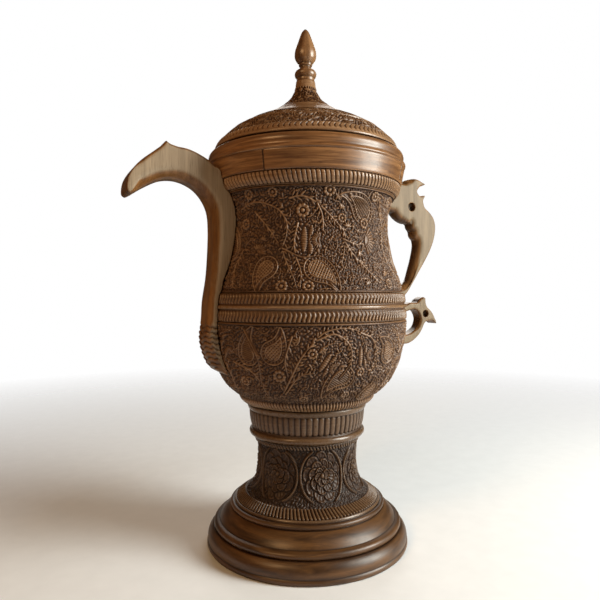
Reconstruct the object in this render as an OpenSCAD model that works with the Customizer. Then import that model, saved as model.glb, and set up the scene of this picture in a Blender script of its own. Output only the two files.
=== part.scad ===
// Carved walnut ewer in the shape of a samovar, in millimetres, +Z up.
// The origin is on the turning axis at the flat underside. The spout points to -X, the handles to +X.

/* [Base] */
// Radius of the foot where it rests
base_r = 120; // [112:1:126]
// Height of the plinth, with its lip and large round moulding
plinth_h = 22; // [18:1:26]
// Height of the cap above it, with a fillet, an ogee and a bead
cap_h = 28; // [24:1:32]

/* [Pedestal] */
// Height of the carved stem
stem_h = 77; // [66:1:88]
// Radius of the stem at its waist
stem_r = 60; // [54:1:64]
// Height of the reeded collar
collar_h = 38; // [32:1:44]

/* [Vessel] */
// Height of the carved bowl
bowl_h = 98; // [90:1:104]
// Largest radius of the bowl
bowl_r = 119.5; // [116:0.5:123]
// Height of the fluted belt
belt_h = 31; // [28:1:34]
// Height of the waisted upper body
body_h = 111; // [104:1:118]
// Wall left behind the carving
wall = 13; // [11:0.5:14]

/* [Rim] */
// Height of the ring of small flutes under the rim
flute_h = 14; // [12:1:16]
// Height of the plain rim band
rim_h = 20; // [18:1:22]
// Radius of the mouth
mouth_r = 100; // [98:0.5:101]
// Gap between the lid's spigot and the mouth
lid_gap = 0.3; // [0.2:0.05:0.6]

/* [Lid] */
// Height of the moulded ring that rests on the rim
lid_ring_h = 19; // [17:1:21]
// Height of the dome
dome_h = 35; // [32:1:38]
// Height of the crown, from the dome to the finial
crown_h = 55; // [50:1:60]
// Height of the finial
finial_h = 62; // [56:1:68]

/* [Spout and handles] */
// Thickness of the spout's board
spout_t = 36; // [30:1:38]
// Thickness of the upper handle
upper_t = 20; // [18:1:24]
// Thickness of the lower handle
lower_t = 18; // [16:1:20]
// Radius of the eye drilled in the upper handle
eye_r = 5.5; // [4:0.25:7]
// Radius of the eye drilled in the lower handle
small_eye_r = 4.75; // [3.5:0.25:6]
// Depth of each drilled eye
eye_depth = 6; // [3:0.5:7]

/* [Joinery] */
// Radius of the dowels that hold the stack of turnings
spine_r = 12.5; // [10:0.5:14]
// Radius of the dowels in the spout and the upper handle
dowel_r = 4; // [3:0.25:4]
// Radius of the dowels in the lower handle
small_dowel_r = 2.5; // [2:0.25:3]
// Depth of a dowel in each of the two pieces that it joins
dowel_depth = 8; // [6:0.5:9]
// Pieces that each segmented ring is glued up from
segments = 4; // [3:1:6]

/* [Hidden] */
$fn = 180;
arc_n = 8;
curve_n = 4;
carved = [0.30, 0.18, 0.11];
polished = [0.52, 0.29, 0.14];
sanded = [0.62, 0.50, 0.36];
dowel_colour = [0.76, 0.62, 0.44];

// Levels of the stack, from the ground up
cap_z = plinth_h;
stem_z = cap_z + cap_h;
collar_z = stem_z + stem_h;
bowl_z = collar_z + collar_h;
belt_z = bowl_z + bowl_h;
body_z = belt_z + belt_h;
flute_z = body_z + body_h;
rim_z = flute_z + flute_h;
seat_z = rim_z + rim_h;
dome_z = seat_z + lid_ring_h;
crown_z = dome_z + dome_h;
finial_z = crown_z + crown_h;

// Radii where two pieces meet
lip_r = base_r - 0.8;
plinth_top_r = base_r - 8;
bead_r = 92;
collar_foot_r = 64;
bowl_foot_r = 72;
body_foot_r = 116;
body_top_r = 106;
rim_foot_r = 113;
rim_r = 117;
dome_foot_r = 110;
crown_foot_r = 72;
crown_top_r = 11.5;
spigot_h = 11;
spigot_wall = 8;
spigot_r = mouth_r - lid_gap;
lid_bore_r = spigot_r - spigot_wall;
floor_z = bowl_z + wall;
belt_bore_r = bowl_r - wall - 1;
body_top_bore_r = body_top_r - wall;
plug_r = 15;
plug_h = 9;
tenon_r = 4.5;
tenon_h = 18;

// How far the two dowels on the axis reach into the pieces at their ends
base_dowel_z = 8;
stem_foot_socket = 25;
stem_head_socket = 20;
bowl_socket = 7;
// How far a cutter runs past the face that it cuts
past = 1;

// Joints in the two segmented rings don't quite line up, and each leaves a hair's width of glue
rim_joint_deg = 220;
flute_joint_deg = 222;
glue_deg = 0.05;

// Heights of the dowels
spout_pins = [bowl_z + 72, body_z + 57, body_z + 100];
upper_pins = [belt_z + 25, flute_z + 7];
lower_pins = [bowl_z + 66, belt_z + 8.5];

// Points on a circular arc from p towards q, without q. It bulges by s to the right of the way p to q.
function bow(p, q, s, n = arc_n) =
    let (c = norm(q - p), u = (q - p) / c, v = [u[1], -u[0]],
         r = (c * c / 4 + s * s) / (2 * abs(s)), a = asin(c / 2 / r))
    [for (i = [0 : n - 1]) let (t = a * (2 * i / n - 1))
        (p + q) / 2 + u * r * sin(t) + v * sign(s) * (r * cos(t) - r * cos(a))];

// Points on a smooth curve through every point of the list, both ends included
function curve(p, n = curve_n) =
    let (e = concat([2 * p[0] - p[1]], p, [2 * p[len(p) - 1] - p[len(p) - 2]]))
    concat([for (i = [1 : len(p) - 1], k = [0 : n - 1]) let (t = k / n, t2 = t * t, t3 = t2 * t)
        (2 * e[i] + (e[i + 1] - e[i - 1]) * t
         + (2 * e[i - 1] - 5 * e[i] + 4 * e[i + 1] - e[i + 2]) * t2
         + (3 * e[i] - e[i - 1] - 3 * e[i + 1] + e[i + 2]) * t3) / 2], [p[len(p) - 1]]);

// A list of [radius, fraction of the height] as points between the level z and z + h
function raised(list, z, h) = [for (p = list) [p[0], z + p[1] * h]];

// Outer lines of the vessel's pieces, each from its foot up
function bowl_line() = concat(
    bow([bowl_foot_r, bowl_z], [bowl_r * 0.68, bowl_z + bowl_h * 0.09], 1.5),
    curve(raised([[bowl_r * 0.68, 0.09], [bowl_r * 0.8, 0.215], [bowl_r * 0.868, 0.34],
        [bowl_r * 0.932, 0.52], [bowl_r * 0.983, 0.77], [bowl_r, 1]], bowl_z, bowl_h)));

function belt_line() = let (bead_lo = belt_z + belt_h * 0.42, bead_hi = belt_z + belt_h * 0.6)
    concat(
    bow([bowl_r - 1, belt_z], [bowl_r - 2, bead_lo], 0.8),
    bow([bowl_r - 2, bead_lo], [bowl_r - 2, bead_hi], 1.6),
    bow([bowl_r - 2, bead_hi], [body_foot_r, body_z], 0.8),
    [[body_foot_r, body_z]]);

function body_line() = curve(raised([[body_foot_r - 1, 0], [112.4, 0.11], [108, 0.22], [103.4, 0.34],
    [100, 0.49], [97.7, 0.65], [98, 0.81], [101, 0.91], [body_top_r - 1, 1]], body_z, body_h));

function flute_line() = concat(
    bow([body_top_r, flute_z], [rim_foot_r - 1, rim_z], 2),
    [[rim_foot_r - 1, rim_z]]);

function rim_line() = [[rim_foot_r, rim_z], [rim_r, seat_z]];

function vessel_line() = concat(bowl_line(), belt_line(), body_line(), flute_line(), rim_line());

// Radius of the vessel's outside at the height z
function wall_r(z) = lookup(z, [for (p = vessel_line()) [p[1], p[0]]]);

// Solid of revolution from an outline of [radius, height] points
module turned(outline) {
    rotate_extrude() polygon(outline);
}

// The filled vessel, which the spout and the handles are cut to fit
module vessel_envelope() {
    turned(concat([[0, bowl_z]], vessel_line(), [[0, seat_z]]));
}

// Radial dowels, or their holes, at the heights given; side is 1 for +X and -1 for -X
module dowels(side, heights, r) {
    for (z = heights)
        translate([side * (wall_r(z) - dowel_depth), 0, z])
            rotate([0, side * 90, 0]) cylinder(r = r, h = 2 * dowel_depth);
}

module all_dowels() {
    dowels(-1, spout_pins, dowel_r);
    dowels(1, upper_pins, dowel_r);
    dowels(1, lower_pins, small_dowel_r);
}

// A flat board with the given outline of [distance from the axis, height], cut to sit on the vessel
module board(outline, thickness, side) {
    difference() {
        scale([side, 1, 1]) rotate([90, 0, 0])
            linear_extrude(thickness, center = true) polygon(outline);
        vessel_envelope();
    }
}

// A blind drilled eye in both faces of a board
module eyes(x, z, thickness, r) {
    for (face = [-1, 1])
        translate([x, face * thickness / 2, z]) rotate([face * 90, 0, 0])
            cylinder(r = r, h = 2 * eye_depth, center = true);
}

// A turned ring cut into equal segments with glue between them, the first cut at the angle given
module segmented(outline, first_cut) {
    step = 360 / segments;
    for (i = [0 : segments - 1])
        rotate([0, 0, first_cut + i * step])
            rotate_extrude(angle = step - glue_deg) polygon(outline);
}

module base_plinth() color(polished) difference() {
    lip_h = plinth_h * 0.3;
    groove_r = lip_r - 2.4;
    groove_top = lip_h + 0.9;
    turned(concat(
        [[0, 0], [lip_r - 1.2, 0]],
        bow([lip_r - 1.2, 0], [lip_r - 1.2, lip_h], 1.4),
        [[lip_r - 1.2, lip_h], [groove_r, lip_h], [groove_r, groove_top]],
        bow([lip_r - 1, groove_top], [plinth_top_r, cap_z], 2.4),
        [[plinth_top_r, cap_z], [0, cap_z]]));
    translate([0, 0, base_dowel_z]) cylinder(r = spine_r, h = plinth_h);
}

module base_cap() color(polished) difference() {
    torus_z = cap_z + cap_h * 0.27;
    bead_z = cap_z + cap_h * 0.8;
    ogee_r = plinth_top_r - 7.5;
    turned(concat(
        [[0, cap_z], [plinth_top_r - 2.8, cap_z]],
        bow([plinth_top_r - 2.8, cap_z], [plinth_top_r - 4.6, torus_z], 2.8),
        [[plinth_top_r - 4.6, torus_z], [ogee_r, torus_z]],
        bow([ogee_r, torus_z + 0.6], [bead_r - 2.6, bead_z], 1.8),
        bow([bead_r - 2.6, bead_z], [bead_r - 3, stem_z], 2.5),
        [[bead_r - 3, stem_z], [0, stem_z]]));
    translate([0, 0, cap_z - past]) cylinder(r = spine_r, h = cap_h + 2 * past);
}

module base_dowel() color(dowel_colour)
    translate([0, 0, base_dowel_z]) cylinder(r = spine_r, h = stem_z + stem_foot_socket - base_dowel_z);

module pedestal_stem() color(carved) difference() {
    turned(concat(
        [[0, stem_z]],
        curve(raised([[bead_r - 4, 0], [bead_r - 7, 0.05], [stem_r + 16, 0.13], [stem_r + 9, 0.21],
            [stem_r + 4.7, 0.29], [stem_r + 1.7, 0.4], [stem_r, 0.58], [stem_r + 0.3, 0.83],
            [stem_r + 2.3, 0.93], [collar_foot_r - 0.5, 1]], stem_z, stem_h)),
        [[0, collar_z]]));
    translate([0, 0, stem_z - past]) cylinder(r = spine_r, h = stem_foot_socket + past);
    translate([0, 0, collar_z - stem_head_socket]) cylinder(r = spine_r, h = stem_head_socket + past);
}

module stem_collar() color(polished) difference() {
    bead_h = collar_h * 0.22;
    reed_top = collar_h * 0.81;
    turned(concat(
        [[0, collar_z], [collar_foot_r, collar_z]],
        bow([collar_foot_r, collar_z], [collar_foot_r + 1.5, collar_z + bead_h], 4.2),
        bow([collar_foot_r + 1.5, collar_z + bead_h], [69, collar_z + reed_top], 1),
        bow([69.5, collar_z + reed_top], [bowl_foot_r - 1, bowl_z], 0.8),
        [[bowl_foot_r - 1, bowl_z], [0, bowl_z]]));
    translate([0, 0, collar_z - past]) cylinder(r = spine_r, h = collar_h + 2 * past);
}

module bowl_dowel() color(dowel_colour)
    translate([0, 0, collar_z - stem_head_socket])
        cylinder(r = spine_r, h = stem_head_socket + collar_h + bowl_socket);

module lower_bowl() color(carved) difference() {
    turned(concat(
        [[0, bowl_z]], bowl_line(),
        [[belt_bore_r, belt_z]],
        curve(raised([[belt_bore_r, 1], [bowl_r * 0.85, 0.68], [bowl_r * 0.77, 0.44],
            [bowl_r * 0.66, 0.26], [bowl_r * 0.5, 0.16], [bowl_r * 0.3, wall / bowl_h]],
            bowl_z, bowl_h)),
        [[0, floor_z]]));
    translate([0, 0, bowl_z - past]) cylinder(r = spine_r, h = bowl_socket + past);
    all_dowels();
}

module belt_ring() color(carved) difference() {
    turned(concat(belt_line(), [[body_foot_r - wall, body_z], [belt_bore_r, belt_z]]));
    all_dowels();
}

module upper_body() color(carved) difference() {
    outer = body_line();
    turned(concat(outer, [for (i = [len(outer) - 1 : -1 : 0]) outer[i] - [wall - 1, 0]]));
    all_dowels();
}

module flute_segments() color(carved) difference() {
    segmented(concat(flute_line(), [[mouth_r, rim_z], [body_top_bore_r, flute_z]]), flute_joint_deg);
    all_dowels();
}

module rim_segments() color(polished)
    segmented(concat(rim_line(), [[mouth_r, seat_z], [mouth_r, rim_z]]), rim_joint_deg);

module lid_spigot() color(polished) turned([
    [lid_bore_r, seat_z - spigot_h], [spigot_r - 1.5, seat_z - spigot_h],
    [spigot_r, seat_z - spigot_h + 1.5], [spigot_r, seat_z], [lid_bore_r, seat_z]]);

module lid_ring() color(polished) {
    cove_z = seat_z + lid_ring_h * 0.16;
    bulge_z = seat_z + lid_ring_h * 0.4;
    groove_z = dome_z - 1.4;
    groove_r = dome_foot_r - 2;
    turned(concat(
        [[lid_bore_r, seat_z], [rim_r + 0.2, seat_z]],
        bow([rim_r + 0.2, seat_z], [rim_r + 0.5, cove_z], 0.5),
        bow([rim_r + 0.5, cove_z], [rim_r - 1.8, bulge_z], -0.9),
        bow([rim_r - 1.8, bulge_z], [dome_foot_r - 0.4, groove_z], 2.8),
        [[dome_foot_r - 0.4, groove_z], [groove_r, groove_z + 0.5], [groove_r, dome_z],
            [lid_bore_r, dome_z]]));
}

module lid_dome() color(carved) difference() {
    turned(concat(
        [[lid_bore_r, dome_z]],
        curve(raised([[dome_foot_r, 0], [107.7, 0.17], [105, 0.29], [99, 0.46], [92.5, 0.63],
            [84.5, 0.8], [crown_foot_r, 1]], dome_z, dome_h)),
        [[0, crown_z], [0, crown_z - 12]],
        curve(raised([[0, 0.66], [40, 0.64], [66, 0.47], [82, 0.24], [lid_bore_r, 0]],
            dome_z, dome_h))));
    translate([0, 0, crown_z - plug_h]) cylinder(r = plug_r, h = plug_h + past);
}

module lid_crown() color(carved) difference() {
    union() {
        turned(concat(
            [[0, crown_z]],
            curve(raised([[crown_foot_r, 0], [61, 0.1], [48.5, 0.2], [38.5, 0.31], [30, 0.42],
                [22.5, 0.53], [17.5, 0.64], [14.5, 0.75], [12.5, 0.86], [crown_top_r, 1]],
                crown_z, crown_h)),
            [[0, finial_z]]));
        translate([0, 0, crown_z - plug_h]) cylinder(r = plug_r, h = plug_h + past);
    }
    translate([0, 0, finial_z - tenon_h]) cylinder(r = tenon_r, h = tenon_h + past);
}

module finial() color(polished) union() {
    foot_r = crown_top_r - 0.8;
    bead_z = finial_z + finial_h * 0.05;
    neck_z = finial_z + finial_h * 0.22;
    ring_z = finial_z + finial_h * 0.28;
    bulb_z = finial_z + finial_h * 0.33;
    turned(concat(
        [[0, finial_z], [foot_r, finial_z]],
        bow([foot_r, bead_z], [8.4, neck_z], 3.6),
        bow([8.4, neck_z], [6.8, ring_z], -0.6),
        bow([6.8, ring_z], [8, bulb_z], 0.7),
        curve(raised([[8, 0.33], [11, 0.385], [12.7, 0.44], [13.1, 0.515], [12.5, 0.59],
            [10.9, 0.67], [9.2, 0.745], [7.5, 0.82], [5.9, 0.89], [4.2, 0.95], [2.4, 0.985]],
            finial_z, finial_h)),
        [[0, finial_z + finial_h]]));
    translate([0, 0, finial_z - tenon_h]) cylinder(r = tenon_r, h = tenon_h + past);
}

// Outline of the spout: foot, neck and beak on the outer side, then the thorn and the back
function spout_line() = concat(
    curve([[95, 200], [106, 204], [121, 213], [129, 230], [131, 245], [128.5, 262], [127, 283],
        [123, 308], [121, 332], [120, 359], [121.5, 380], [127.5, 395], [137, 406], [149, 412.5],
        [162, 415], [176, 413], [190, 406], [205, 396.5]]),
    curve([[209, 394.5], [212.5, 398], [211, 410], [205, 421], [196, 431], [185, 440], [177, 446.5]]),
    [[171.5, 453]],
    curve([[167.5, 450], [159, 448], [149, 447], [138, 443.5], [125, 437], [114, 428], [100, 412]]),
    [[80, 380], [80, 230]]);

module spout() color(sanded) difference() {
    board(spout_line(), spout_t, -1);
    dowels(-1, spout_pins, dowel_r);
}

// Outline of the upper handle: nape, crest, notch, spur, back, foot, then the lobed breast
function upper_line() = concat(
    curve([[100, 426], [126, 432], [139, 438.5], [149, 443.5], [159, 445], [168, 443], [176, 438.5]]),
    curve([[167.5, 435], [163, 428.5], [167, 423]]),
    [[175.5, 424]],
    curve([[173, 416], [176, 408], [184, 402], [191, 394], [194, 383], [192, 368], [186, 353],
        [177, 338], [166, 322], [155, 306], [145, 293], [132, 284.5], [100, 281]]),
    curve([[100, 300], [130, 301], [141, 304], [149, 311], [153.5, 323], [159, 340], [162.5, 356],
        [161.5, 364]]),
    bow([161.5, 364], [156, 375], -2),
    bow([156, 375], [151, 386], -2),
    bow([151, 386], [122, 402], -6),
    [[90, 404]]);

module upper_handle() color(sanded) difference() {
    board(upper_line(), upper_t, 1);
    dowels(1, upper_pins, dowel_r);
    eyes(152.5, 407, upper_t, eye_r);
}

// Outline of the lower handle: top arm, ear, head, beak and bottom arm, then the finger loop
function lower_line() = concat(
    curve([[105, 277], [130, 276.5], [143, 277.5], [152, 281], [163, 281], [168, 285.5], [174, 288.5]]),
    curve([[177.5, 287], [178, 280], [181, 274.5], [187, 269.5], [191.5, 263.5], [194, 258]]),
    [[195.5, 252]],
    curve([[190, 256], [184, 256.5], [178, 255], [174.5, 251], [172, 246], [167, 239], [160, 233],
        [152, 228.5], [142, 226.5], [100, 224]]),
    curve([[100, 238], [135, 238], [149, 239.5], [157, 243], [163, 248], [166.5, 254.5], [167.5, 261],
        [165.5, 267.5], [160.5, 271.5], [155, 272], [148, 270], [135, 267], [105, 266]]));

module lower_handle() color(sanded) difference() {
    board(lower_line(), lower_t, 1);
    dowels(1, lower_pins, small_dowel_r);
    eyes(176.5, 266, lower_t, small_eye_r);
}

module spout_dowels() color(dowel_colour) dowels(-1, spout_pins, dowel_r);

module upper_handle_dowels() color(dowel_colour) dowels(1, upper_pins, dowel_r);

module lower_handle_dowels() color(dowel_colour) dowels(1, lower_pins, small_dowel_r);

base_plinth();
base_cap();
base_dowel();
pedestal_stem();
stem_collar();
bowl_dowel();
lower_bowl();
belt_ring();
upper_body();
flute_segments();
rim_segments();
lid_spigot();
lid_ring();
lid_dome();
lid_crown();
finial();
spout();
spout_dowels();
upper_handle();
upper_handle_dowels();
lower_handle();
lower_handle_dowels();
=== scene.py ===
"""Looks of the carved walnut ewer, whose pieces are turned, carved and sawn here around the CAD frame.

Lengths are in millimetres until a mesh is made, because the carving is worked out in millimetres. Angles
round the turning axis are in degrees, from +X towards +Y: the spout is at 180, and the handles are at 0.
"""

import math
import random
from collections import Counter

import bmesh
import bpy
import numpy as np
from mathutils import Matrix, Vector


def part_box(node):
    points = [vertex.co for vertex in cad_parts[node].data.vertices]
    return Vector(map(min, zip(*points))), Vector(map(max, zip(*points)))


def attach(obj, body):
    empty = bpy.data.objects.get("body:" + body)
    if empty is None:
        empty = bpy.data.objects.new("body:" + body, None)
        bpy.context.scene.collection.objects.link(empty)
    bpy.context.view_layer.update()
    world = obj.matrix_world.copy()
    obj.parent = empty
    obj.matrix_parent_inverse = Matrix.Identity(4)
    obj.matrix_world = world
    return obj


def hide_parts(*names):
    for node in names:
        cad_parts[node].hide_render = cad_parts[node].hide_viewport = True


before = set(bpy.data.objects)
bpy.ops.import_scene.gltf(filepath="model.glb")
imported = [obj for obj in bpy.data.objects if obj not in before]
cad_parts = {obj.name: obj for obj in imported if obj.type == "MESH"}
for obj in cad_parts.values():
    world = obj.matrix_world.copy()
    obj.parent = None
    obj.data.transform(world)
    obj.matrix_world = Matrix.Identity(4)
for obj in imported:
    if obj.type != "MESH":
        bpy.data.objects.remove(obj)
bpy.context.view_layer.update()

MM = 0.001
RAY_SIDE = Vector((0, -1, 0))   # a side where no spout, handle or dowel gets in the way
OUTSIDE = RAY_SIDE * 0.3        # a start for rays, in metres, that is well clear of the pot
CORNER_DEG = 24                 # an outline turns by more than this at a corner, and by less along a curve
CREASE = 0.15                   # an extra row this close to a corner keeps the shading crisp


# ------------------------ outlines taken from the CAD nodes

def cad_mesh(node):
    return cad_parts[node].data


def points_of(mesh, field="co"):
    """The places of a mesh's vertices, or their normals, as rows of x, y and z."""
    values = np.zeros(len(mesh.vertices) * 3)
    mesh.vertices.foreach_get(field, values)
    return values.reshape(-1, 3)


def levels(node):
    """Every height at which the CAD node has vertices, in mm."""
    z = np.unique(np.round(points_of(cad_mesh(node))[:, 2] / MM, 2))
    keep = [z[0]]
    for value in z[1:]:
        if value - keep[-1] > 0.03:
            keep.append(value)
    return keep


def ray_radius(node, z, way, start=Vector()):
    """The radius in mm at which a level ray meets the CAD node, or none."""
    hit, place, _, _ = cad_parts[node].ray_cast(start + Vector((0, 0, z * MM)), way)
    return math.hypot(place.x, place.y) / MM if hit else None


def outer_line(node):
    """Points [radius, height] on the outside of a turned CAD node, from its foot up."""
    heights = levels(node)
    inside = np.clip(heights, heights[0] + 0.01, heights[-1] - 0.01)
    points = [(ray_radius(node, at, -RAY_SIDE, OUTSIDE), z) for at, z in zip(inside, heights)]
    return np.array([p for p in points if p[0] is not None])


def headings(line):
    """The direction of each step of the line, in degrees."""
    step = np.diff(line, axis=0)
    return np.degrees(np.unwrap(np.arctan2(step[:, 1], step[:, 0])))


def corners(line):
    """Indices where the line turns sharply, with both its ends."""
    sharp = [i + 1 for i, turn in enumerate(np.diff(headings(line))) if abs(turn) > CORNER_DEG]
    return [0] + sharp + [len(line) - 1]


def lengths(line):
    """How far along the line each of its points is."""
    return np.concatenate([[0], np.cumsum(np.hypot(*np.diff(line, axis=0).T))])


def points_along(line, at):
    """The line's points at some distances along it."""
    s = lengths(line)
    return np.stack([np.interp(at, s, line[:, 0]), np.interp(at, s, line[:, 1])], 1)


def resample(line, step):
    whole = lengths(line)[-1]
    return points_along(line, np.linspace(0, whole, max(2, int(round(whole / step)) + 1)))


def eased(run, window):
    """A run with its facets smoothed away over the window, its ends kept."""
    fine = resample(run, 0.25)
    half = max(1, int(window / 0.5))
    if len(fine) <= 2 * half + 2:
        return fine
    kernel = np.hanning(2 * half + 3)[1:-1]
    kernel /= kernel.sum()
    padded = np.concatenate([2 * fine[0] - fine[half:0:-1], fine, 2 * fine[-1] - fine[-2:-half - 2:-1]])
    return np.stack([np.convolve(padded[:, k], kernel, "valid") for k in (0, 1)], 1)


def smooth_line(node, step, fillet=0.3):
    """The node's outer line with true curves, crisp but softened corners and an even step."""
    raw = outer_line(node)
    cuts = corners(raw)
    points = []
    for a, b in zip(cuts[:-1], cuts[1:]):
        run = eased(raw[a:b + 1], min(4.0, lengths(raw[a:b + 1])[-1] / 5))
        lo = fillet if a else 0
        hi = lengths(run)[-1] - (fillet if b < len(raw) - 1 else 0)
        if hi - lo > 4 * CREASE:
            count = max(2, int(round((hi - lo) / step)) + 1)
            even = np.linspace(lo, hi, count)[1:-1]
            points.extend(points_along(run, np.sort([lo, lo + CREASE, *even, hi - CREASE, hi])))
        else:
            points.append(run[len(run) // 2])
    return np.array(points)


def corner_and_seam_shade(line, reach=1.1, full_turn=50):
    """How far each point of the outline is from painted shade: 1 in the open and on beads, 0 deep in a hollow
    corner and at either end, where the piece meets the next one.
    """
    hollow = np.concatenate([[0], np.maximum(-np.diff(headings(line)), 0), [0]])
    s = lengths(line)
    # painted shade: darker the more the outline turns inward nearby
    hollow_shade = (hollow[None, :] * np.exp(-((s[:, None] - s[None, :]) / reach) ** 2)).sum(1) / full_turn
    ends = np.maximum(np.minimum(s, s[-1] - s) - 0.8, 0)
    # and painted shade in the seam at each end of the outline
    return 1 - np.clip(hollow_shade + 0.9 * np.exp(-(ends / 0.6) ** 2), 0, 1)


# ------------------------ meshes

def add_object(name, data):
    obj = bpy.data.objects.new(name, data)
    bpy.context.scene.collection.objects.link(obj)
    return obj


def new_mesh(name, co, quads, ends=()):
    """A mesh object from points in mm, quads, and any larger end faces."""
    mesh = bpy.data.meshes.new(name)
    faces = len(quads) + len(ends)
    sizes = np.concatenate([np.full(len(quads), 4), [len(f) for f in ends]]).astype(int)
    corner_list = np.concatenate([quads.ravel(), *ends])
    mesh.vertices.add(len(co))
    mesh.vertices.foreach_set("co", (co * MM).ravel())
    mesh.loops.add(len(corner_list))
    mesh.loops.foreach_set("vertex_index", corner_list.astype(np.int32))
    mesh.polygons.add(faces)
    mesh.polygons.foreach_set("loop_start", np.concatenate([[0], np.cumsum(sizes)[:-1]]).astype(np.int32))
    mesh.polygons.foreach_set("use_smooth", np.ones(faces, bool))
    mesh.update(calc_edges=True)
    mesh.validate()
    return add_object(name, mesh)


def set_attribute(obj, name, kind, values):
    attribute = obj.data.attributes.new(name, kind, "POINT")
    field = "vector" if kind == "FLOAT_VECTOR" else "value"
    attribute.data.foreach_set(field, np.asarray(values, np.float32).ravel())


def grid_quads(rows, columns, round_rows, round_columns):
    """The faces of a grid of points, which may close up from its last row or column to its first."""
    i = np.arange(rows - 1 + round_rows)[:, None]
    j = np.arange(columns - 1 + round_columns)[None, :]
    up, on = (i + 1) % rows * columns, (j + 1) % columns
    return np.stack([i * columns + j, i * columns + on, up + on, up + j], -1).reshape(-1, 4)


def normals_2d(line):
    """The outward direction at each point of an outline that runs upward."""
    step = np.gradient(line, axis=0)
    step /= np.maximum(np.hypot(*step.T), 1e-9)[:, None]
    return np.stack([step[:, 1], -step[:, 0]], 1)


def turned(name, line, columns, relief=None, depth=0.0, wear_stain_and_shade=None, back=(), close=False, arc=None):
    """A turned piece. line is its outer line, upward, and relief cuts it in by up to depth. back is the
    [radius, height] points that lead from the line's top, down inside, to its foot; close says that there
    are none, and that the two ends are flat. arc is the first and last angle of what isn't a full ring."""
    sweep = np.radians(np.linspace(*arc, columns) if arc else np.arange(columns) * 360 / columns)
    height = np.ones((len(line), columns)) if relief is None else relief
    cut = -depth * (1 - height)
    n = normals_2d(line)
    back = np.array(back, float).reshape(-1, 2)
    r, z = (np.concatenate([line[:, k, None] + cut * n[:, k, None], np.repeat(back[:, k, None], columns, 1)])
            for k in (0, 1))
    rows = len(r)
    co = np.stack([r * np.cos(sweep), r * np.sin(sweep), z], -1)
    ends = []
    if arc:
        ends = [np.arange(rows) * columns, (np.arange(rows) * columns + columns - 1)[::-1]]
    elif close:
        ends = [np.arange(columns)[::-1], (rows - 1) * columns + np.arange(columns)]
    obj = new_mesh(name, co.reshape(-1, 3), grid_quads(rows, columns, not close, not arc), ends)
    around = lengths(np.concatenate([line, back]))
    grain = np.stack([co[..., 0], co[..., 1], np.broadcast_to(around[:, None], r.shape)], -1)
    set_attribute(obj, "grain", "FLOAT_VECTOR", grain.reshape(-1, 3) * MM)
    # The material darkens where this is low: the real dark stain of the carved ground and the rim's dark glue
    # lines, and painted shade in the carving's pits, in hollow corners and at seams; rubbed high spots stay
    # light.
    shown = height if wear_stain_and_shade is None else np.repeat(wear_stain_and_shade[:, None], columns, 1)
    set_attribute(obj, "wear_stain_and_shade", "FLOAT", np.concatenate([shown, np.ones((len(back), columns))]))
    return obj


# ------------------------ carving

def smoothstep(t):
    t = np.clip(t, 0, 1)
    return t * t * (3 - 2 * t)


def dome(d, radius=1):
    """The height of a half-round bump of height 1 at a distance d from its middle."""
    return np.sqrt(np.clip(1 - (d / radius) ** 2, 0, 1))


def turned_axes(u, v, angle):
    """Coordinates along and across the direction at an angle."""
    c, q = math.cos(math.radians(angle)), math.sin(math.radians(angle))
    return u * c + v * q, v * c - u * q


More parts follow.
